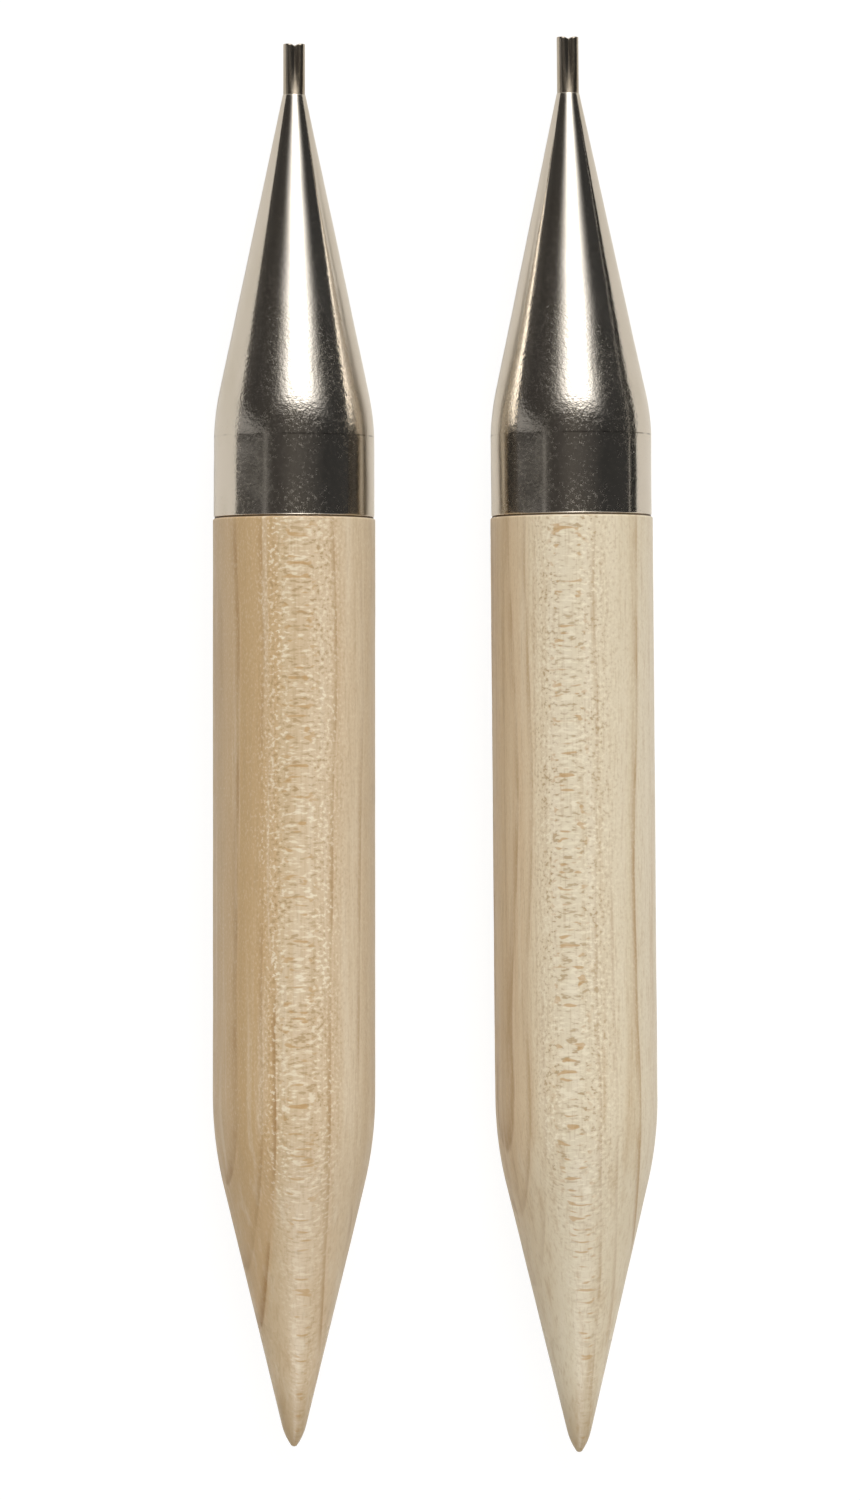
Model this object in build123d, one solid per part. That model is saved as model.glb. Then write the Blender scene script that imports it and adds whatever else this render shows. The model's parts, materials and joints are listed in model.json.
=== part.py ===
from build123d import *

import os
from dataclasses import dataclass

# A pair of interchangeable knitting needle tips, 15 mm thick, lying side by side.
#
# Each tip is a turned wooden shaft with a point at one end. Its other end is a spigot, glued
# into a metal ferrule: a short collar that runs into a long hollow cone. The nose of the cone
# grips the thinner root of a metal tube. Outside it, the tube has a dent pressed along one
# side, which gives it a heart-shaped mouth: the tip's half of a push-and-turn lock for a cord.
#
# Every piece of a tip is made about the Y axis, with Y = 0 at the open end of the ferrule, the
# lock towards +Y, the point towards -Y and the dent towards +Z. The tips are then laid on
# Z = 0, and the middle of the pair's footprint is put at X = Y = 0. All sizes are millimetres.

# Wooden shaft
SHAFT_R = 7.5
SHAFT_STRAIGHT = 57.3  # from the ferrule to where the straight side would meet the taper
SHOULDER_ROUND = 0.2
TAPER_ROUND = 35.0
SPIGOT_R = 6.5
SPIGOT_LENGTH = 10.0
SPIGOT_CHAMFER = 0.6

# Point of the shaft: the taper turns into a blunter nose, and that into a rounded end
TAPER_APEX_PAST_POINT = 2.64  # the taper's straight side would reach the axis this far beyond
NOSE_LENGTH = 1.0
NOSE_ROUND = 5.4
POINT_R = 0.19
POINT_ROUND = 0.34

# Metal ferrule
COLLAR_R = 7.45
COLLAR_LENGTH = 9.1  # from the open end to where the collar's side would meet the cone
CONE_LENGTH = 29.75
CONE_ROUND = 22.0
CONE_END_R = 1.05
FERRULE_LENGTH = COLLAR_LENGTH + CONE_LENGTH
SOCKET_R = 6.65
SOCKET_LENGTH = 10.6
HOLLOW_END_R = 2.0
HOLLOW_END = 26.5  # from the open end to where the seat of the tube's root starts

# Glue between the shaft and the ferrule
GLUE_UNDER_SHOULDER = 0.1
GLUE_SHOULDER_R = 7.3
GLUE_LENGTH = 9.0

# Lock tube
TUBE_R = 1.0
TUBE_WALL = 0.35
TUBE_ROOT_R = 0.83
TUBE_LENGTH = 15.0
DENT_R = 0.45
DENT_DEPTH_AT_RIM = 0.55
DENT_DEPTH_AT_FERRULE = 0.12
DENT_TURN = 8.0  # degrees about the tip's axis, from +Z towards +X

# How the pair lies
AXIS_SPACING = 25.5  # between the axes, at the ferrules' open ends
RIGHT_AHEAD = 0.15  # the right ferrule's open end is this much further towards +Y
RIGHT_YAW = 0.48  # degrees that the right tip's lock leans towards the left tip


@dataclass
class Tip:
    """What differs between the two tips, which are finished by hand."""

    name: str
    taper_length: float  # from the end of the straight side to the point
    tube_stand_out: float  # length of the lock tube outside the ferrule
    place: Location


LEFT = Tip("left", 28.07, 4.7, Pos(-AXIS_SPACING / 2, 0, SHAFT_R))
RIGHT = Tip(
    "right", 28.74, 5.2, Pos(AXIS_SPACING / 2, RIGHT_AHEAD, SHAFT_R) * Rot(0, 0, RIGHT_YAW)
)


def turned(outline_points, rounds=()):
    """Turn a half outline about Y. Points are (radius, y), and rounds are (point, radius)."""
    outline = make_face(Polyline(*outline_points, close=True))
    for corner, radius in rounds:
        vertex = outline.vertices().sort_by_distance((*corner, 0))[0]
        outline = fillet(vertex, radius)
    return revolve(outline, Axis.Y)


def wooden_shaft(tip):
    point_y = -SHAFT_STRAIGHT - tip.taper_length
    taper_slope = SHAFT_R / (tip.taper_length + TAPER_APEX_PAST_POINT)
    shoulder = (SHAFT_R, -GLUE_UNDER_SHOULDER)
    taper_start = (SHAFT_R, -SHAFT_STRAIGHT)
    nose = (taper_slope * (TAPER_APEX_PAST_POINT + NOSE_LENGTH), point_y + NOSE_LENGTH)
    point_edge = (POINT_R, point_y)
    outline = [
        (0, SPIGOT_LENGTH),
        (SPIGOT_R - SPIGOT_CHAMFER, SPIGOT_LENGTH),
        (SPIGOT_R, SPIGOT_LENGTH - SPIGOT_CHAMFER),
        (SPIGOT_R, -GLUE_UNDER_SHOULDER),
        shoulder,
        taper_start,
        nose,
        point_edge,
        (0, point_y),
    ]
    rounds = [
        (shoulder, SHOULDER_ROUND),
        (taper_start, TAPER_ROUND),
        (point_edge, POINT_ROUND),
        (nose, NOSE_ROUND),
    ]
    return turned(outline, rounds)


def glue_film():
    """Fills the gap round the spigot, and the narrow one under the shaft's shoulder."""
    return turned(
        [
            (SPIGOT_R, -GLUE_UNDER_SHOULDER),
            (GLUE_SHOULDER_R, -GLUE_UNDER_SHOULDER),
            (GLUE_SHOULDER_R, 0),
            (SOCKET_R, 0),
            (SOCKET_R, GLUE_LENGTH),
            (SPIGOT_R, GLUE_LENGTH),
        ]
    )


def ferrule():
    cone_start = (COLLAR_R, COLLAR_LENGTH)
    outline = [
        (SOCKET_R, 0),
        (COLLAR_R, 0),
        cone_start,
        (CONE_END_R, FERRULE_LENGTH),
        (TUBE_ROOT_R, FERRULE_LENGTH),
        (TUBE_ROOT_R, HOLLOW_END),
        (HOLLOW_END_R, HOLLOW_END),
        (SOCKET_R, SOCKET_LENGTH),
    ]
    return turned(outline, [(cone_start, CONE_ROUND)])


def lock_tube(tip):
    """Its shoulder sits on the ferrule's nose. The dent is what a tilted round bar would press."""
    rim_y = FERRULE_LENGTH + tip.tube_stand_out
    rim = Plane(origin=(0, rim_y, 0), x_dir=(1, 0, 0), z_dir=(0, -1, 0))
    bar_at_rim = Vector(0, rim_y, TUBE_R + DENT_R - DENT_DEPTH_AT_RIM)
    bar_at_ferrule = Vector(0, FERRULE_LENGTH, TUBE_R + DENT_R - DENT_DEPTH_AT_FERRULE)
    along_bar = Plane(origin=bar_at_ferrule, z_dir=bar_at_rim - bar_at_ferrule)

    def rod(radius, length):
        return extrude(rim * Circle(radius), length)

    def bar(radius):
        return extrude(along_bar * Circle(radius), 2 * tip.tube_stand_out, both=True)

    outside = rod(TUBE_R, tip.tube_stand_out) + rod(TUBE_ROOT_R, TUBE_LENGTH) - bar(DENT_R)
    bore = rod(TUBE_R - TUBE_WALL, TUBE_LENGTH) - bar(DENT_R + TUBE_WALL)
    return Rot(0, DENT_TURN, 0) * (outside - bore)


def laid_out():
    """Every piece where it lies, with the middle of the pair's footprint at X = Y = 0."""
    makers = {
        "wooden_shaft": wooden_shaft,
        "glue_film": lambda tip: glue_film(),
        "ferrule": lambda tip: ferrule(),
        "lock_tube": lock_tube,
    }
    pieces = {
        f"{tip.name}_{piece}": tip.place * make(tip)
        for tip in (LEFT, RIGHT)
        for piece, make in makers.items()
    }
    middle = Compound(list(pieces.values())).bounding_box().center()
    to_origin = Pos(-middle.X, -middle.Y, 0)
    for tip in (LEFT, RIGHT):
        opening = to_origin * tip.place
        print(tip.name, "ferrule opens at", opening.position, "yaw", opening.orientation.Z)
    return {name: to_origin * piece for name, piece in pieces.items()}


os.makedirs("parts", exist_ok=True)
for name, piece in laid_out().items():
    export_step(piece, f"parts/{name}.step")
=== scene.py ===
import json
import math
from dataclasses import dataclass

import bmesh
import bpy
import numpy as np
from mathutils import Matrix, Vector


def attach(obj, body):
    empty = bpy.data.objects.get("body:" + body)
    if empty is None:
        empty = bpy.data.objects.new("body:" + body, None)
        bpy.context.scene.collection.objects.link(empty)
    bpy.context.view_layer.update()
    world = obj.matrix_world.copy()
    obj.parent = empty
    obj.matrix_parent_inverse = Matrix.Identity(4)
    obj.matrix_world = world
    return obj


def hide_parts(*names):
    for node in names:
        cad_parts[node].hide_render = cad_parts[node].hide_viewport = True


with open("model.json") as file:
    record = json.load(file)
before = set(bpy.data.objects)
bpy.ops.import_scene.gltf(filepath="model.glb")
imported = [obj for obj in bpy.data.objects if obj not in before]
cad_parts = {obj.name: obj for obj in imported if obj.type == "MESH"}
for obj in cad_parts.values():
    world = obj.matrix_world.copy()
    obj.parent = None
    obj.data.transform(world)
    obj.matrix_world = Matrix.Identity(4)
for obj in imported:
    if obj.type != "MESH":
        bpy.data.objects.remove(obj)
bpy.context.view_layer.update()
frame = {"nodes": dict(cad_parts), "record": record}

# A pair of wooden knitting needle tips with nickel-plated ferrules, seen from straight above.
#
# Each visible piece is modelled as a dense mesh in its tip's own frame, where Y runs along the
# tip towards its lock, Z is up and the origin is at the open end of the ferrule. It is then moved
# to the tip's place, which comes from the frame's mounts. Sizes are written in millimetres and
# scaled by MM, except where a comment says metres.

MM = 0.001
TIP_PLACE = "tip_place"
MOUNTS = {mount["name"]: mount for mount in frame["record"]["mounts"]}

# Sizes of the CAD model, in millimetres
SHAFT_R = 7.5
SHAFT_STRAIGHT = 57.3
SHOULDER_ROUND = 0.2
TAPER_ROUND = 35.0
SPIGOT_R = 6.5
SPIGOT_LENGTH = 10.0
SPIGOT_CHAMFER = 0.6
TAPER_APEX_PAST_POINT = 2.64
NOSE_LENGTH = 1.0
NOSE_ROUND = 5.4
POINT_R = 0.19
POINT_ROUND = 0.34
COLLAR_R = 7.45
COLLAR_LENGTH = 9.1
CONE_ROUND = 22.0
CONE_END_R = 1.05
FERRULE_LENGTH = 38.85
SOCKET_R = 6.65
SOCKET_LENGTH = 10.6
HOLLOW_END_R = 2.0
HOLLOW_END = 26.5
GLUE_UNDER_SHOULDER = 0.1
TUBE_R = 1.0
TUBE_WALL = 0.35
TUBE_ROOT_R = 0.83
TUBE_LENGTH = 15.0
DENT_DEPTH_AT_FERRULE = 0.12
DENT_TURN = math.radians(8)

# What the visible pieces add to the CAD model's shapes
CREASE_AT = 7.4  # from the ferrule's open end to the crease where the cone leaves the collar
CREASE_LIP = 0.04
MOUTH_EDGE_ROUND = 0.2
CONE_EDGE_ROUND = 0.03
DENT_DEPTH_AT_RIM = 0.5
DENT_SPREAD = math.radians(34)
DENT_BOW = 0.8  # how much sooner than evenly the dent deepens from the ferrule to the rim
RIM_ROUND = 0.06
RIM_DIP = 0.2  # how far the rim dips where the dent is
RIM_DIP_SPREAD = math.radians(26)
RIM_DIP_LENGTH = 1.0

# Fineness of the meshes
SEGMENTS = 192
TUBE_SEGMENTS = 96
RUN_STEP = 0.5
ARC_STEP = math.radians(6)
FEWEST_ARC_STEPS = 4
SHARP_EDGE = math.radians(35)

# Linear colours of the wood's markings
PALE_STREAK = (0.84, 0.75, 0.60)
BROWN_STREAK = (0.54, 0.38, 0.21)
LATE_WOOD = (0.40, 0.23, 0.09)
DARK_FIBRE = (0.50, 0.35, 0.19)
PALE_RAY = (0.92, 0.84, 0.66)
DARK_RAY = (0.40, 0.25, 0.10)
BROAD_RAY = (0.56, 0.34, 0.14)
# Brown mixed into the wood towards the point
POINT_BROWN = (0.40, 0.28, 0.145)

# Linear colours of the metal, the painted shade in the crease and the glue
NICKEL, WORN_NICKEL = (0.67, 0.62, 0.55), (0.62, 0.57, 0.49)
TUBE_NICKEL, WORN_TUBE_NICKEL = (0.50, 0.445, 0.37), (0.40, 0.34, 0.26)
# A dark colour painted along the crease as its shade
CREASE_SHADE = (0.10, 0.08, 0.06)
DARK_GLUE, PALE_GLUE = (0.05, 0.03, 0.015), (0.16, 0.10, 0.05)

# The studio's lights, as strengths
FAR_PANEL = 4.1
NEAR_PANEL = 3.2
STRIP = 0.25
CARD = 0.28
FAR_WALL = 1.7
NEAR_WALL = 0.3


@dataclass
class Tip:
    """One tip: where it lies, and what its wood looks like."""

    name: str
    taper_length: float
    pith: tuple  # where the tree's centre lay, across (x) and up (z) from the tip's axis, in mm
    seed: int
    colours: list  # (place across the shaft from -1 to 1, linear colour)
    ring_lines: list  # (place across the shaft, strength, y of its end nearer the ferrule)

    @property
    def body(self):
        return f"{self.name}_tip"

    @property
    def stand_out(self):
        return MOUNTS[f"{self.name}_lock_neck"]["dims"]["length_mm"]

    @property
    def place(self):
        mouth = MOUNTS[f"{self.name}_lock_mouth"]
        along = Vector(mouth["axis"]).normalized()
        up = Vector((0, 0, 1))
        opening = Vector(mouth["pos_m"]) - along * (FERRULE_LENGTH + self.stand_out) * MM
        turn = Matrix((along.cross(up), along, up)).transposed()
        return Matrix.Translation(opening) @ turn.to_4x4()

    @property
    def point_y(self):
        return -SHAFT_STRAIGHT - self.taper_length


LEFT = Tip(
    name="left",
    taper_length=28.07,
    pith=(-24.0, 9.2),
    seed=3,
    # On the right side these colours are partly painted light, lifted against the shade the right
    # tip casts there.
    colours=[
        (-1.0, (0.63, 0.475, 0.31)),
        (-0.62, (0.62, 0.445, 0.255)),
        (-0.58, (0.59, 0.41, 0.215)),
        (-0.2, (0.64, 0.455, 0.255)),
        (-0.14, (0.68, 0.525, 0.33)),
        (0.2, (0.72, 0.575, 0.39)),
        (0.5, (0.69, 0.54, 0.36)),
        (0.75, (0.72, 0.59, 0.415)),
        (1.0, (0.69, 0.555, 0.38)),
    ],
    ring_lines=[
        (-5.8, 0.4, 0),
        (-4.6, 1.0, 0),
        (-2.6, 0.7, 0),
        (-1.45, 1.2, -42),
        (3.7, 0.8, 0),
        (6.4, 0.6, 0),
    ],
)
RIGHT = Tip(
    name="right",
    taper_length=28.74,
    pith=(-14.0, 6.2),
    seed=11,
    colours=[
        (-1.0, (0.80, 0.64, 0.43)),
        (-0.7, (0.76, 0.60, 0.40)),
        (-0.5, (0.79, 0.67, 0.48)),
        (-0.1, (0.785, 0.695, 0.52)),
        (0.3, (0.75, 0.65, 0.475)),
        (0.5, (0.755, 0.66, 0.49)),
        (0.74, (0.71, 0.61, 0.44)),
        (0.78, (0.73, 0.64, 0.48)),
        (1.0, (0.73, 0.64, 0.49)),
    ],
    ring_lines=[
        (-5.6, 0.8, 0),
        (-4.3, 0.6, 0),
        (-2.9, 0.3, -20),
        (1.9, 0.5, 0),
        (3.4, 0.4, -30),
        (5.6, 1.0, 0),
    ],
)
TIPS = (LEFT, RIGHT)


# Outlines and meshes


def rounded(corners):
    """Dense (radius, y) points along straight runs and arcs. A corner is (radius, y, round)."""
    points = [Vector(corner[:2]) for corner in corners]
    dense = [points[0]]
    for before, corner, after, (*_, radius) in zip(points, points[1:], points[2:], corners[1:]):
        into, out = (corner - before).normalized(), (after - corner).normalized()
        turn = into.angle_signed(out)
        if not radius:
            arc = [corner]
        else:
            start = corner - into * radius * math.tan(abs(turn) / 2)
            side = Vector((into.y, -into.x)) * math.copysign(radius, turn)
            enough = max(abs(turn) / ARC_STEP, radius * abs(turn) / RUN_STEP)
            steps = max(FEWEST_ARC_STEPS, math.ceil(enough))
            centre = start + side
            turns = [-turn * step / steps for step in range(steps + 1)]
            arc = [centre - Matrix.Rotation(angle, 2) @ side for angle in turns]
        dense += run(dense[-1], arc[0]) + arc
    return dense + run(dense[-1], points[-1]) + [points[-1]]


def run(start, end):
    """Points between two ends, about RUN_STEP apart, without the ends."""
    pieces = max(1, round((end - start).length / RUN_STEP))
    return [start.lerp(end, step / pieces) for step in range(1, pieces)]


def grid_mesh(name, grid, closed_across):
    """A quad mesh from a (rows, columns, 3) array, closed along its rows. Sizes in millimetres."""
    rows, columns = grid.shape[:2]
    index = np.arange(rows * columns).reshape(rows, columns)
    if closed_across:
        index = np.vstack([index, index[:1]])
    right = np.roll(index, -1, axis=1)
    quads = np.stack([index[:-1], right[:-1], right[1:], index[1:]], axis=-1).reshape(-1, 4)
    mesh = bpy.data.meshes.new(name)
    mesh.from_pydata((grid.reshape(-1, 3) * MM).tolist(), [], quads.tolist())
    return mesh


def lathe(name, outline, closed, finish):
    """Turns an outline about Y. An open one starts and ends on the axis.

    The finish is an offset for a surface of the shaft's radius, and is less on a thinner part.
    """
    if not closed:
        outline = outline[1:-1]
    angle = np.linspace(0, 2 * math.pi, SEGMENTS, endpoint=False)
    radius = np.array([point.x for point in outline])[:, None]
    y = np.array([point.y for point in outline])[:, None] + 0 * angle
    radius = radius * (1 + finish(angle, y) / SHAFT_R)
    grid = np.stack([radius * np.cos(angle), y, radius * np.sin(angle)], axis=-1)
    mesh = grid_mesh(name, grid, closed)
    if not closed:
        cap_ends(mesh, len(outline))
    return mesh


def cap_ends(mesh, rows):
    """Closes an open lathe with one many-sided face at each end."""
    bm = bmesh.new()
    bm.from_mesh(mesh)
    bm.verts.ensure_lookup_table()
    first = [bm.verts[column] for column in range(SEGMENTS)]
    last = [bm.verts[(rows - 1) * SEGMENTS + column] for column in range(SEGMENTS)]
    bm.faces.new(first)
    bm.faces.new(reversed(last))
    bm.to_mesh(mesh)
    bm.free()


def hand_finish(seed, slope, shortest, longest, count=28):
    """The slight waviness of a hand-finished surface, from random waves that only cut inwards.

    The waves have lengths from shortest to longest mm and about the same slope.
    """
    chance = np.random.default_rng(seed)
    waves = []
    for length in np.geomspace(shortest, longest, count):
        heading = chance.uniform(0, math.pi)
        turns = round(2 * math.pi * SHAFT_R * math.cos(heading) / length)
        per_mm = 2 * math.pi * math.sin(heading) / length
        height = slope * length / (2 * math.pi) * math.sqrt(2 / count)
        waves.append((turns, per_mm, chance.uniform(0, 2 * math.pi), height))

    def ripple(angle, y):
        return sum(
            height * (np.sin(turns * angle + per_mm * y + phase) - 1)
            for turns, per_mm, phase, height in waves
        )

    return ripple


def finished(mesh, tip, material, node):
    """Puts a mesh into the scene as a piece of its tip, in place of its CAD node."""
    bm = bmesh.new()
    bm.from_mesh(mesh)
    bmesh.ops.recalc_face_normals(bm, faces=bm.faces)
    bm.to_mesh(mesh)
    bm.free()
    remember_place(mesh)
    mesh.transform(tip.place)
    mesh.shade_smooth()
    mesh.set_sharp_from_angle(angle=SHARP_EDGE)
    mesh.materials.append(material)
    piece = bpy.data.objects.new(mesh.name, mesh)
    bpy.context.scene.collection.objects.link(piece)
    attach(piece, tip.body)
    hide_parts(node)


def remember_place(mesh):
    """Keeps each vertex's place in its tip's own frame, in mm, for the materials to read."""
    places = np.empty(3 * len(mesh.vertices), dtype=np.float32)
    mesh.vertices.foreach_get("co", places)
    kept = mesh.attributes.new(TIP_PLACE, "FLOAT_VECTOR", "POINT")
    kept.data.foreach_set("vector", places / MM)


def shaft_outline(tip):
    taper_slope = SHAFT_R / (-tip.point_y - SHAFT_STRAIGHT + TAPER_APEX_PAST_POINT)
    nose_r = taper_slope * (TAPER_APEX_PAST_POINT + NOSE_LENGTH)
    return rounded(
        [
            (0, SPIGOT_LENGTH, 0),
            (SPIGOT_R - SPIGOT_CHAMFER, SPIGOT_LENGTH, 0),
            (SPIGOT_R, SPIGOT_LENGTH - SPIGOT_CHAMFER, 0),
            (SPIGOT_R, -GLUE_UNDER_SHOULDER, 0),
            (SHAFT_R, -GLUE_UNDER_SHOULDER, SHOULDER_ROUND),
            (SHAFT_R, -SHAFT_STRAIGHT, TAPER_ROUND),
            (nose_r, tip.point_y + NOSE_LENGTH, NOSE_ROUND),
            (POINT_R, tip.point_y, POINT_ROUND),
            (0, tip.point_y, 0),
        ]
    )


def wooden_shaft(tip):
    sanding = hand_finish(tip.seed, slope=0.004, shortest=2.5, longest=20)
    mesh = lathe(f"{tip.name}_turned_shaft", shaft_outline(tip), False, sanding)
    finished(mesh, tip, wood(tip), f"{tip.name}_wooden_shaft")


def creased(outline):
    """Keeps the collar straight as far as a narrow lip, where the cone's blend starts sharply."""
    beyond = next(place for place, point in enumerate(outline) if point.y > CREASE_AT)
    low, high = outline[beyond - 1], outline[beyond]
    crease = low.lerp(high, (CREASE_AT - low.y) / (high.y - low.y))
    lip = Vector((crease.x, CREASE_AT - CREASE_LIP))
    before = [point for point in outline[:beyond] if point.y < lip.y]
    collar = [Vector((min(point.x, lip.x), point.y)) for point in before]
    return collar + [lip, crease] + outline[beyond:]


def ferrule(tip, material):
    outline = rounded(
        [
            (SOCKET_R, 0, 0),
            (COLLAR_R, 0, MOUTH_EDGE_ROUND),
            (COLLAR_R, COLLAR_LENGTH, CONE_ROUND),
            (CONE_END_R, FERRULE_LENGTH, CONE_EDGE_ROUND),
            (TUBE_ROOT_R, FERRULE_LENGTH, 0),
            (TUBE_ROOT_R, HOLLOW_END, 0),
            (HOLLOW_END_R, HOLLOW_END, 0),
            (SOCKET_R, SOCKET_LENGTH, 0),
            (SOCKET_R, 0, 0),
        ]
    )[:-1]
    outline = creased(outline)
    buffing = hand_finish(tip.seed + 1, slope=0.008, shortest=2.5, longest=16)
    mesh = lathe(f"{tip.name}_plated_ferrule", outline, True, buffing)
    finished(mesh, tip, material, f"{tip.name}_ferrule")


def dent_depth(tip, y):
    """Depth of the dent's middle. It ends a little way inside the ferrule."""
    share = (y - FERRULE_LENGTH) / tip.stand_out
    share += DENT_BOW * share * (1 - share)
    return max(DENT_DEPTH_AT_FERRULE + share * (DENT_DEPTH_AT_RIM - DENT_DEPTH_AT_FERRULE), 0)


def lock_tube(tip, material):
    """Rings over the tube's skin: out along its side, over the rim, and back inside to its root."""
    side_rings, rim_steps, bore_rings, root_rings = 36, 10, 60, 12
    angle = np.linspace(-math.pi, math.pi, TUBE_SEGMENTS, endpoint=False)
    dent = np.exp(-((angle / DENT_SPREAD) ** 2))
    dip = RIM_DIP * np.exp(-((angle / RIM_DIP_SPREAD) ** 2))
    rim = FERRULE_LENGTH + tip.stand_out
    rim_start = rim - RIM_ROUND
    root_end = rim - TUBE_LENGTH

    def ring(y, radius):
        near_rim = max(1 - (rim - y) / RIM_DIP_LENGTH, 0) ** 2
        return radius - dent * dent_depth(tip, y), y - dip * near_rim

    rings = [ring(y, TUBE_R) for y in np.linspace(FERRULE_LENGTH, rim_start, side_rings)]
    for step in np.linspace(0, math.pi, rim_steps + 1)[1:-1]:
        radius = TUBE_R - TUBE_WALL / 2 + math.cos(step) * TUBE_WALL / 2
        rings.append(ring(rim_start + RIM_ROUND * math.sin(step), radius))
    rings += [ring(y, TUBE_R - TUBE_WALL) for y in np.linspace(rim_start, root_end, bore_rings)]
    rings += [
        (TUBE_ROOT_R + 0 * angle, y) for y in np.linspace(root_end, FERRULE_LENGTH, root_rings)
    ]
    side, up = np.sin(angle + DENT_TURN), np.cos(angle + DENT_TURN)
    grid = [np.stack([radius * side, 0 * angle + y, radius * up], axis=-1) for radius, y in rings]
    mesh = grid_mesh(f"{tip.name}_grooved_lock_tube", np.stack(grid), closed_across=True)
    finished(mesh, tip, material, f"{tip.name}_lock_tube")


# Materials


class Nodes:
    """A node tree written as calls: each call adds a node and returns one of its outputs."""

    def __init__(self, tree):
        self.tree = tree

    def add(self, kind, inputs=None, output=0, **settings):
        node = self.tree.nodes.new(f"ShaderNode{kind}")
        for name, value in settings.items():
            setattr(node, name, value)
        for name, value in (inputs or {}).items():
            self.feed(node.inputs[name], value)
        return node.outputs[output]

    def feed(self, socket, value):
        if isinstance(value, bpy.types.NodeSocket):
            self.tree.links.new(value, socket)
        elif socket.type == "RGBA" and len(value) == 3:
            socket.default_value = (*value, 1)
        else:
            socket.default_value = value

    def math(self, operation, *values):
        return self.add("Math", dict(enumerate(values)), operation=operation)

    def total(self, *values):
        result = values[0]
        for value in values[1:]:
            result = self.math("ADD", result, value)
        return result

    def product(self, *values):
        result = values[0]
        for value in values[1:]:
            result = self.math("MULTIPLY", result, value)
        return result

    def length(self, x, z):
        return self.math("SQRT", self.total(self.product(x, x), self.product(z, z)))

    def spread(self, value, low, high, to_low=0.0, to_high=1.0):
        """value from low..high to to_low..to_high, eased at both ends and held beyond them."""
        inputs = {"Value": value, "From Min": low, "From Max": high}
        inputs |= {"To Min": to_low, "To Max": to_high}
        return self.add("MapRange", inputs, interpolation_type="SMOOTHSTEP")

    def stretched(self, vector, x, y, z):
        return self.add("VectorMath", {0: vector, 1: (x, y, z)}, operation="MULTIPLY")

    def noise(self, vector, scale=1.0, detail=2.0, roughness=0.5, seed=0.0):
        inputs = {"Vector": vector, "W": seed, "Scale": scale, "Detail": detail}
        inputs["Roughness"] = roughness
        return self.add("TexNoise", inputs, noise_dimensions="4D")

    def mix(self, share, colour, other):
        return self.add("Mix", {0: share, 6: colour, 7: other}, output=2, data_type="RGBA")

    def ramp(self, value, stops):
        result = self.add("ValToRGB", {0: value})
        elements = result.node.color_ramp.elements
        elements.remove(elements[-1])
        for step, (place, colour) in enumerate(stops):
            element = elements[0] if step == 0 else elements.new(place)
            element.position = place
            element.color = (*colour, 1)
        return result

    def place(self):
        """The tip frame's coordinates in mm."""
        return self.add("Attribute", output="Vector", attribute_name=TIP_PLACE)

    def bump(self, height, distance):
        return self.add("Bump", {"Height": height, "Distance": distance, "Strength": 1.0})


def new_material(name):
    """A material with one Principled shader, its node builder, and that shader's inputs."""
    material = bpy.data.materials.new(name)
    material.use_nodes = True
    return material, Nodes(material.node_tree), material.node_tree.nodes["Principled BSDF"].inputs


def wood(tip):
    """Quarter-cut maple under satin lacquer: rings stand up across X, and rays lie flat."""
    material, nodes, shader = new_material(f"{tip.name}_maple")
    x, y, z = nodes.add("SeparateXYZ", {0: nodes.place()}).node.outputs
    tree, across, steepness = tree_coordinates(nodes, tip, x, y, z)
    fibre = nodes.noise(nodes.stretched(tree, 5.0, 0.35, 5.0), seed=tip.seed + 5)
    dark_rays, pale_rays = fine_rays(nodes, tip, tree)
    colour = grain_colour(nodes, tip, tree, across, y)
    colour = nodes.mix(nodes.spread(fibre, 0.5, 0.72, 0.0, 0.30), colour, DARK_FIBRE)
    colour = with_rays(nodes, tip, tree, y, steepness, colour, dark_rays, pale_rays)

    # The thin end is a little browner towards the point
    towards_point = nodes.spread(y, tip.point_y, tip.point_y + 8.0, 0.6, 0.0)
    nodes.feed(shader["Base Color"], nodes.mix(towards_point, colour, POINT_BROWN))
    lacquer(nodes, tip, tree, y, shader)
    relief = nodes.total(nodes.product(fibre, 0.8), nodes.product(dark_rays, -0.4))
    nodes.feed(shader["Normal"], nodes.bump(relief, 0.004 * MM))
    return material


def tree_coordinates(nodes, tip, x, y, z):
    """Where the wood was in the tree: out from the pith, along the shaft and round the pith.

    Returns them as one vector in mm, the first one by itself, and how steeply a line out from the
    pith leaves the surface: 0 where it runs along the surface, 1 where it is square to it.
    """
    pith_x, pith_z = tip.pith
    reach = math.hypot(pith_x, SHAFT_R - pith_z)
    out_x = nodes.math("SUBTRACT", x, pith_x)
    out_z = nodes.math("SUBTRACT", z, pith_z)
    from_pith = nodes.length(out_x, out_z)
    across = nodes.math("SUBTRACT", from_pith, reach)
    round_pith = nodes.product(nodes.math("ARCTAN2", out_z, out_x), reach)
    tree = nodes.add("CombineXYZ", {0: across, 1: y, 2: round_pith})
    toward_ray = nodes.total(nodes.product(x, out_x), nodes.product(z, out_z))
    lengths = nodes.product(nodes.length(x, z), from_pith)
    steepness = nodes.math("ABSOLUTE", nodes.math("DIVIDE", toward_ray, lengths))
    return tree, across, steepness


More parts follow.
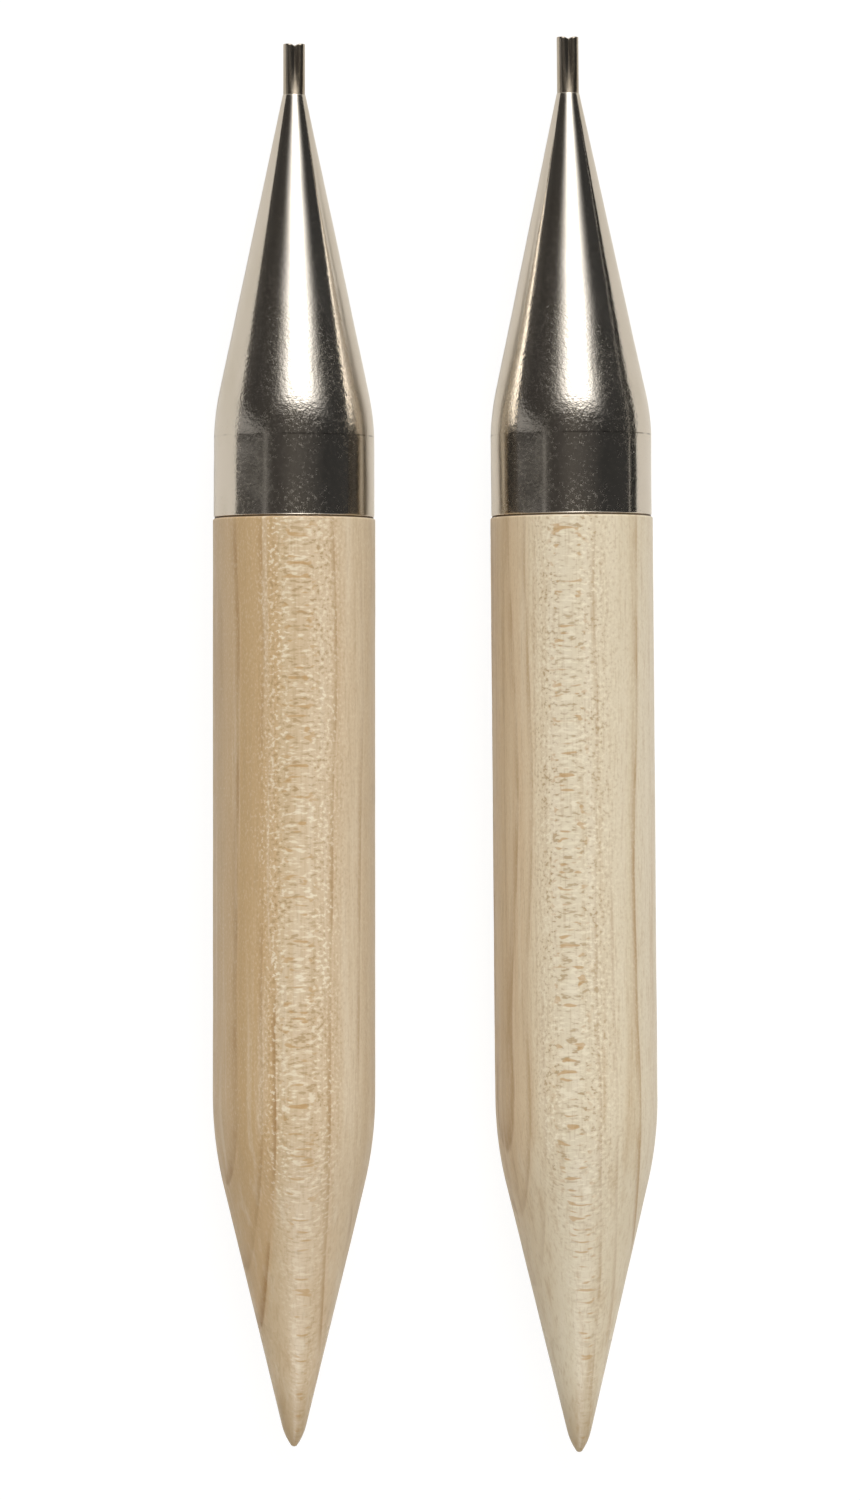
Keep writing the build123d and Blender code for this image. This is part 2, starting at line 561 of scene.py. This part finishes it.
def grain_colour(nodes, tip, tree, across, y):
    """Ring colours, in part painted light, soft streaks along the grain, and late wood in lines
    that come and go.
    """
    wander = nodes.noise(nodes.stretched(tree, 0.05, 0.035, 0.05), detail=1.0, seed=tip.seed)
    ring = nodes.total(across, nodes.spread(wander, 0.2, 0.8, -0.45, 0.45))
    share_across = nodes.add("MapRange", {"Value": ring, "From Min": -SHAFT_R, "From Max": SHAFT_R})
    colour = nodes.ramp(share_across, [((1 + where) / 2, hue) for where, hue in tip.colours])

    long_streaks = nodes.stretched(tree, 1.1, 0.03, 1.1)
    streaks = nodes.noise(long_streaks, detail=3.0, roughness=0.6, seed=tip.seed + 2)
    colour = nodes.mix(nodes.spread(streaks, 0.5, 0.72, 0.0, 0.45), colour, BROWN_STREAK)
    colour = nodes.mix(nodes.spread(streaks, 0.32, 0.5, 0.28, 0.0), colour, PALE_STREAK)

    lines = nodes.total(*[ring_line(nodes, ring, y, *line) for line in tip.ring_lines])
    broken = nodes.noise(nodes.stretched(tree, 0.6, 0.12, 0.6), seed=tip.seed + 1)
    lines = nodes.product(lines, nodes.spread(broken, 0.32, 0.6, 0.15, 1.0))
    return nodes.mix(nodes.product(lines, 0.7), colour, LATE_WOOD)


def ring_line(nodes, ring, y, where, strength, start):
    """Late wood of one year: it darkens slowly outwards and ends sharply."""
    from_line = nodes.math("SUBTRACT", ring, where)
    darkening = nodes.math("POWER", nodes.spread(from_line, -1.0, 0.0), 5.0)
    end = nodes.spread(from_line, 0.0, 0.12, 1.0, 0.0)
    begun = nodes.spread(y, start - 5.0, start + 5.0, 1.0, 0.0)
    return nodes.product(darkening, end, begun, strength)


def fine_rays(nodes, tip, tree):
    """Shares of dark and of pale ray flecks, which are stronger in some patches."""
    rays = nodes.noise(nodes.stretched(tree, 0.9, 3.2, 9.0), seed=tip.seed + 4)
    patchy = nodes.noise(nodes.stretched(tree, 0.3, 0.2, 0.3), seed=tip.seed + 6)
    dark = nodes.spread(rays, 0.54, 0.66)
    dark_strength = nodes.spread(patchy, 0.3, 0.65, 0.3, 0.65)
    pale = nodes.spread(rays, 0.36, 0.47, 1.0, 0.0)
    pale_strength = nodes.spread(patchy, 0.3, 0.65, 0.8, 0.5)
    return nodes.product(dark, dark_strength), nodes.product(pale, pale_strength)


def with_rays(nodes, tip, tree, y, steepness, colour, dark_rays, pale_rays):
    """Adds the rays, thin ribbons that reach out from the pith.

    Where the surface runs along them they show as a ladder of dashes, and where it cuts them more
    steeply as specks, which are fainter. On the taper they are fainter too.
    """
    grazed = nodes.spread(steepness, 0.25, 0.6, 1.0, 0.25)
    on_straight = nodes.spread(y, -SHAFT_STRAIGHT - 12.0, -SHAFT_STRAIGHT + 4.0, 0.45, 1.0)
    colour = nodes.mix(nodes.product(dark_rays, grazed, on_straight), colour, DARK_RAY)
    colour = nodes.mix(nodes.product(pale_rays, grazed, on_straight), colour, PALE_RAY)
    broad = nodes.noise(nodes.stretched(tree, 0.3, 2.0, 7.0), detail=1.0, seed=tip.seed + 7)
    closely_grazed = nodes.spread(steepness, 0.08, 0.3, 1.0, 0.1)
    broad_rays = nodes.product(nodes.spread(broad, 0.58, 0.66), closely_grazed, 0.7)
    return nodes.mix(broad_rays, colour, BROAD_RAY)


def lacquer(nodes, tip, tree, y, shader):
    """A satin finish, smoother on the thin end."""
    satin = nodes.spread(nodes.noise(tree, 0.8, detail=3.0), 0.3, 0.7, 0.36, 0.48)
    smoother = nodes.spread(y, tip.point_y + 6.0, tip.point_y + 18.0, 0.45, 1.0)
    nodes.feed(shader["Roughness"], nodes.product(satin, smoother))
    shader["IOR"].default_value = 1.35
    shader["Coat Weight"].default_value = 0.25
    shader["Coat Roughness"].default_value = 0.14


def polished_nickel(name, plate, worn_plate, sharpest, haze_strength):
    """Nickel plate with a haze that comes and goes, fine dull grain, and dull spots on the collar.

    Its sharpest reflections are where neither the grain nor a spot adds to its roughness.
    """
    material, nodes, shader = new_material(name)
    shader["Metallic"].default_value = 1.0
    place = nodes.place()
    y = nodes.add("SeparateXYZ", {0: place}, output="Y")
    haze = nodes.noise(nodes.stretched(place, 0.3, 0.12, 0.3))
    grain = nodes.noise(place, 11.0, roughness=0.6)
    mottle = nodes.noise(place, 2.6, detail=3.0, roughness=0.6)
    fine_dullness = nodes.product(
        nodes.spread(grain, 0.45, 0.60),
        nodes.spread(haze, 0.3, 0.7, 0.6, 1.0),
        nodes.spread(mottle, 0.35, 0.65, 0.5, 1.0),
        nodes.spread(y, 14.0, 34.0, 1.0, 0.4),
        haze_strength,
    )
    dull_spots = nodes.product(
        nodes.spread(mottle, 0.46, 0.66),
        nodes.spread(haze, 0.4, 0.6, 0.25, 1.0),
        nodes.spread(y, CREASE_AT, CREASE_AT + 4.0, 0.12, 0.0),
    )
    nodes.feed(shader["Roughness"], nodes.total(fine_dullness, sharpest, dull_spots))
    colour = nodes.mix(nodes.spread(haze, 0.4, 0.7), plate, worn_plate)
    # Painted shade: a dark line along the crease
    crease_shade = painted_crease_shade(nodes, place, y)
    nodes.feed(shader["Base Color"], nodes.mix(crease_shade, colour, CREASE_SHADE))
    relief = nodes.total(nodes.product(grain, 0.1), pitting(nodes, place, y))
    nodes.feed(shader["Normal"], nodes.bump(relief, 0.026 * MM))
    return material


def painted_crease_shade(nodes, place, y):
    """Painted shade: a dark line over parts of the crease where the cone leaves the collar."""
    off_crease = nodes.math("ABSOLUTE", nodes.math("SUBTRACT", y, CREASE_AT))
    parts = nodes.spread(nodes.noise(place, 0.7, detail=3.0), 0.42, 0.58, 0.05, 0.75)
    return nodes.product(nodes.spread(off_crease, 0.0, 0.11, 1.0, 0.0), parts)


def pitting(nodes, place, y):
    """Shallow pits: deepest just beyond the crease, fading up the cone, faint on the collar."""
    return nodes.product(
        nodes.noise(place, 3.0, roughness=0.6),
        nodes.spread(y, CREASE_AT - 1.0, CREASE_AT + 1.0, 0.15, 1.0),
        nodes.spread(y, 8.0, 28.0, 1.0, 0.12),
    )


def glue():
    """Dried glue, brown and slightly uneven, seen only as a fine line at the joint."""
    material, nodes, shader = new_material("dried_glue")
    per_mm = 1 / MM
    place = nodes.stretched(nodes.add("TexCoord", output="Object"), per_mm, per_mm, per_mm)
    blotch = nodes.noise(place, 1.5, detail=3.0)
    nodes.feed(shader["Base Color"], nodes.mix(blotch, DARK_GLUE, PALE_GLUE))
    nodes.feed(shader["Roughness"], nodes.spread(blotch, 0.3, 0.7, 0.4, 0.7))
    return material


# The studio


def panel(nodes, across, along):
    """Share of light from a soft panel. The angles are in degrees from straight up.

    Across, it is brightest a little to the right and fades slowly to both sides.
    """
    middle, fade, overlap = 10.0, 55.0, 5.0
    left_side = nodes.spread(across, middle - fade, middle + overlap)
    right_side = nodes.spread(across, middle - overlap, middle + fade, 1.0, 0.0)
    return nodes.product(
        nodes.math("POWER", left_side, 2.0),
        nodes.math("POWER", right_side, 2.0),
        nodes.spread(along, 17.0, 28.0),
        nodes.spread(along, 58.0, 74.0, 1.0, 0.0),
    )


def room(nodes, across):
    """The dark room's own colours, from one side over the top to the other."""
    return nodes.ramp(
        nodes.add("MapRange", {"Value": across, "From Min": -90.0, "From Max": 90.0}),
        [
            (0.0, (0.09, 0.085, 0.08)),
            (0.14, (0.05, 0.047, 0.044)),
            (0.39, (0.065, 0.06, 0.056)),
            (0.5, (0.105, 0.098, 0.09)),
            (0.6, (0.085, 0.08, 0.075)),
            (0.75, (0.04, 0.04, 0.04)),
            (1.0, (0.05, 0.05, 0.05)),
        ],
    )


def strip(nodes, across, y):
    """A narrow light halfway up on the left, which ends just beyond the middle."""
    return nodes.product(
        nodes.spread(across, -44.0, -40.5),
        nodes.spread(across, -40.5, -37.0, 1.0, 0.0),
        nodes.spread(y, 0.05, 0.12, 1.0, 0.0),
    )


def card(nodes, across, y):
    """A pale card on the left, beyond the middle. Its top slants down towards the far end."""
    slant = nodes.total(across, nodes.product(y, 248.0))
    return nodes.product(
        nodes.spread(slant, -18.0, -12.0, 1.0, 0.0),
        nodes.spread(across, -112.0, -104.0),
        nodes.spread(y, 0.055, 0.075),
    )


def walls(nodes, x, y):
    """Pale walls beyond both ends, a little brighter towards the right."""
    both = nodes.total(
        nodes.product(nodes.spread(y, 0.5, 0.68), FAR_WALL),
        nodes.spread(y, -0.6, -0.35, NEAR_WALL, 0.0),
    )
    return nodes.product(both, nodes.total(1.0, nodes.product(x, 0.4)))


def studio_light():
    """A dark room with soft panels overhead and pale walls beyond both ends.

    Light comes from all round, so its places are directions: x to the right, y to the far end
    and z up, each from -1 to 1, or angles in degrees from straight up. The camera sees white.
    """
    world = bpy.data.worlds.new("studio")
    world.use_nodes = True
    bpy.context.scene.world = world
    nodes = Nodes(world.node_tree)
    world.node_tree.nodes.clear()
    x, y, z = nodes.add("SeparateXYZ", {0: nodes.add("TexCoord")}).node.outputs
    across = nodes.math("DEGREES", nodes.math("ARCTAN2", x, z))
    along = nodes.math("DEGREES", nodes.math("ARCTAN2", y, z))
    backwards = nodes.math("MULTIPLY", along, -1.0)
    bright = nodes.total(
        nodes.product(panel(nodes, across, along), FAR_PANEL),
        nodes.product(panel(nodes, across, backwards), NEAR_PANEL),
        nodes.product(strip(nodes, across, y), STRIP),
        nodes.product(card(nodes, across, y), CARD),
        walls(nodes, x, y),
    )
    dark = nodes.add("Background", {"Color": room(nodes, across)})
    lights = nodes.add("Background", {"Color": (1.0, 0.99, 0.98), "Strength": bright})
    lit = nodes.add("AddShader", {0: dark, 1: lights})
    seen = nodes.add("Background", {"Color": (1.0, 1.0, 1.0)})
    camera_ray = nodes.add("LightPath", output="Is Camera Ray")
    result = nodes.add("MixShader", {0: camera_ray, 1: lit, 2: seen})
    output = world.node_tree.nodes.new("ShaderNodeOutputWorld")
    nodes.feed(output.inputs["Surface"], result)


def backdrop(name, low, high, height, material):
    """A level rectangle from corner low to corner high, both (x, y) in metres."""
    corners = [
        (low[0], low[1], height),
        (high[0], low[1], height),
        (high[0], high[1], height),
        (low[0], high[1], height),
    ]
    mesh = bpy.data.meshes.new(name)
    mesh.from_pydata(corners, [], [(0, 1, 2, 3)])
    mesh.materials.append(material)
    piece = bpy.data.objects.new(name, mesh)
    bpy.context.scene.collection.objects.link(piece)
    return piece


def white_paper():
    """Warm white paper. The camera sees it nearly burnt out, with a trace of the shadows."""
    material, nodes, _ = new_material("white_paper")
    paper = nodes.add("BsdfDiffuse", {"Color": (0.9, 0.87, 0.81)})
    burnt = nodes.add("Emission", {"Color": (1.0, 1.0, 1.0), "Strength": 1.12})
    camera_ray = nodes.add("LightPath", output="Is Camera Ray")
    result = nodes.add("MixShader", {0: nodes.product(camera_ray, 0.8), 1: paper, 2: burnt})
    nodes.feed(nodes.tree.nodes["Material Output"].inputs["Surface"], result)
    return material


def dark_cloth():
    material, nodes, _ = new_material("dark_table")
    cloth = nodes.add("BsdfDiffuse", {"Color": (0.03, 0.03, 0.03)})
    nodes.feed(nodes.tree.nodes["Material Output"].inputs["Surface"], cloth)
    return material


def surroundings():
    """A white floor, and right of the white sheet a dark table that only polished metal shows."""
    backdrop("white_floor", (-3.0, -3.0), (3.0, 3.0), 0, white_paper())
    table = backdrop("dark_table", (0.058, -0.6), (0.5, 0.6), 0.0002, dark_cloth())
    table.visible_camera = False
    table.visible_diffuse = False
    table.visible_shadow = False


def camera():
    """Straight above the pair, as far off as a photographer's close-up lens stands."""
    distance, picture_length, aim_x, aim_y = 550, 137.9, -0.48, -0.51
    data = bpy.data.cameras.new("camera")
    data.sensor_width = 36
    data.lens = data.sensor_width * distance / picture_length
    data.clip_start = 0.01
    eye = bpy.data.objects.new("camera", data)
    eye.location = (aim_x * MM, aim_y * MM, SHAFT_R * MM + distance * MM)
    bpy.context.scene.collection.objects.link(eye)
    bpy.context.scene.camera = eye


def main():
    plate = polished_nickel(
        "polished_nickel", NICKEL, WORN_NICKEL, sharpest=0.08, haze_strength=0.22
    )
    tube_plate = polished_nickel(
        "lock_tube_nickel", TUBE_NICKEL, WORN_TUBE_NICKEL, sharpest=0.16, haze_strength=0.2
    )
    dried_glue = glue()
    for tip in TIPS:
        wooden_shaft(tip)
        ferrule(tip, plate)
        lock_tube(tip, tube_plate)
        film = frame["nodes"][f"{tip.name}_glue_film"]
        for slot in film.material_slots:
            slot.material = dried_glue
    camera()
    surroundings()
    studio_light()
    bpy.context.scene.view_settings.view_transform = "Standard"


main()
